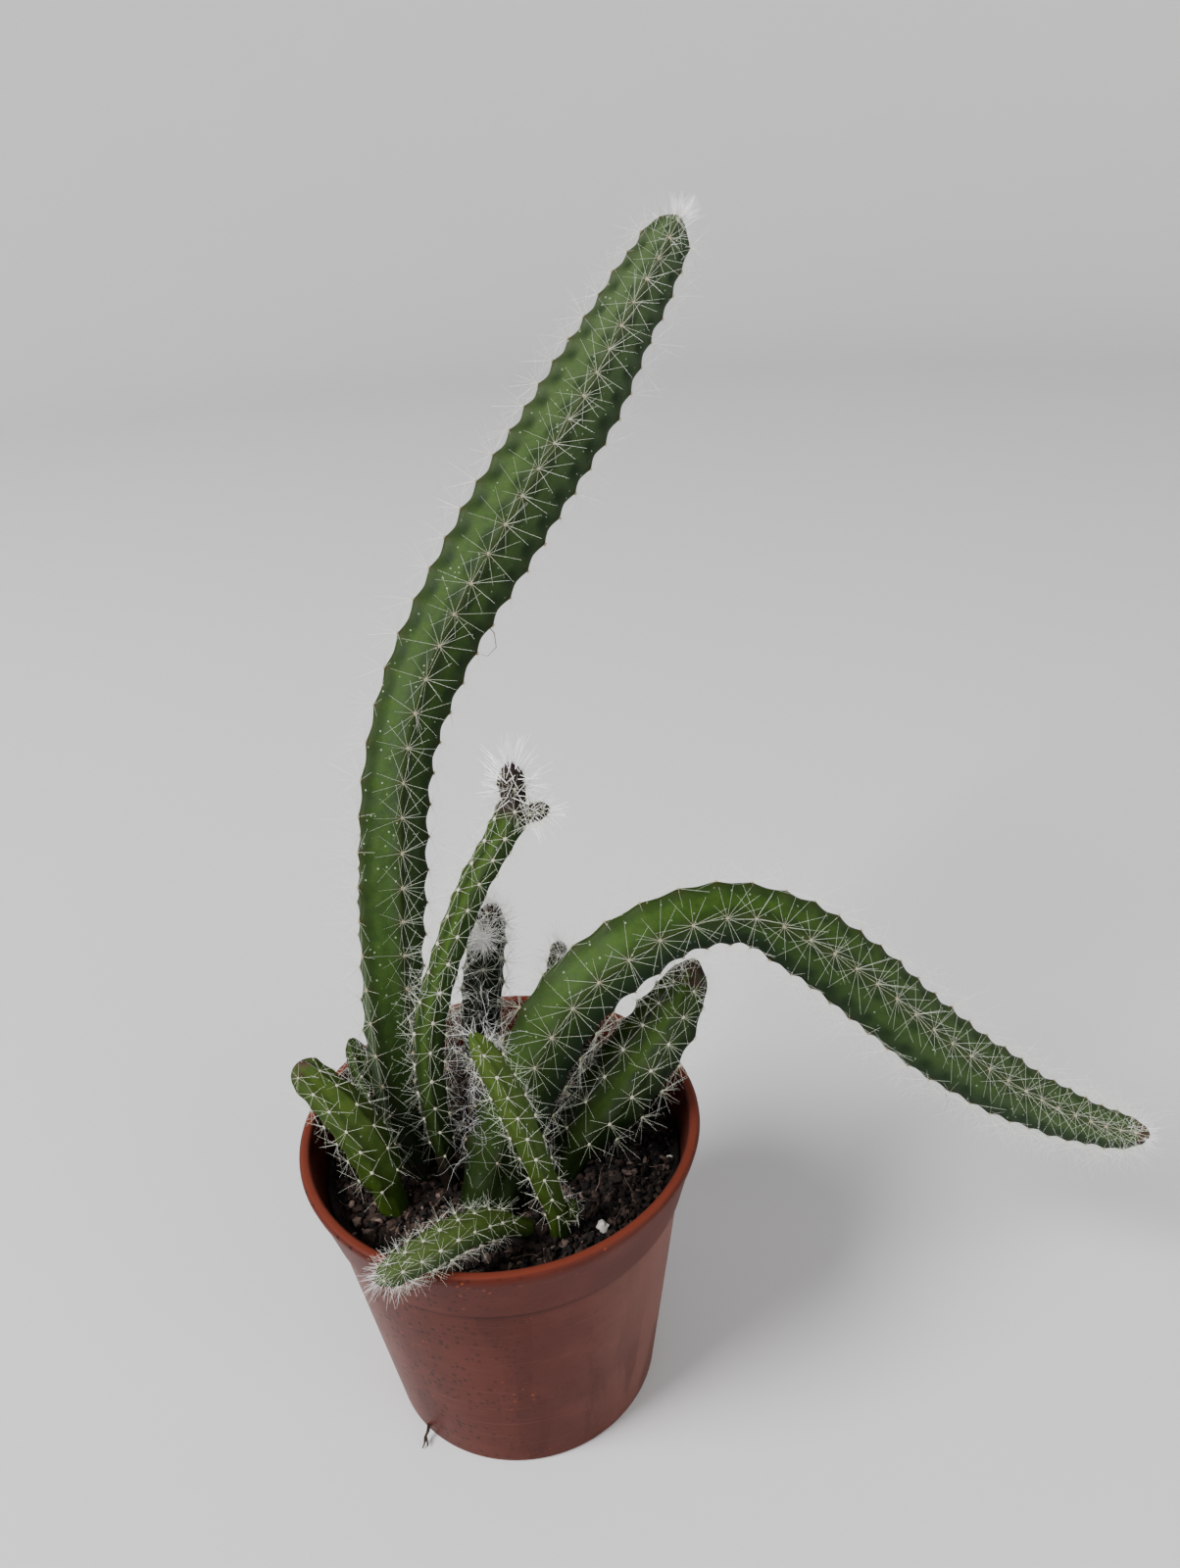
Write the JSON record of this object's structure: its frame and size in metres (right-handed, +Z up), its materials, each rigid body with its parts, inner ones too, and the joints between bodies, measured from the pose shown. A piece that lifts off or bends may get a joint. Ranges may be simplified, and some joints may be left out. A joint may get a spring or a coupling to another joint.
{
  "type": "potted dog tail cactus",
  "caption": "Spiny ribbed cactus in a plastic nursery pot of soil: one stem stands tall, one arches over the side, and shorter ones crowd the foot.",
  "frame": {"origin": "centre of the pot's base, on the surface that it stands on", "axes": "+Z up the pot's axis, -Y towards the plant's front, +X to the side that the arching stem hangs over"},
  "size_m": [0.23, 0.2023, 0.2986],
  "materials": {
    "pot_plastic": "dusty terracotta-coloured polypropylene, satin, with fine scuffs and dirt",
    "potting_soil": "dark crumbly peat mix with chips, fibres and a few white perlite grains",
    "mature_stem": "waxy green skin, with cream wool cushions and pale spines on the ribs",
    "young_stem": "bright yellow-green young skin with fine pale spines",
    "dark_stem": "dull dark green skin under dense white spines"
  },
  "bodies": {
    "root": {"pot": "pot_plastic", "soil": "potting_soil", "stem_tall": "mature_stem", "stem_slim": "mature_stem", "stem_back": "dark_stem", "stem_bud": "dark_stem", "stem_arching": "mature_stem", "stem_stout": "mature_stem", "stem_front": "young_stem", "stem_left": "mature_stem", "stem_left_small": "young_stem", "stem_reclining": "young_stem"}
  },
  "joints": []
}
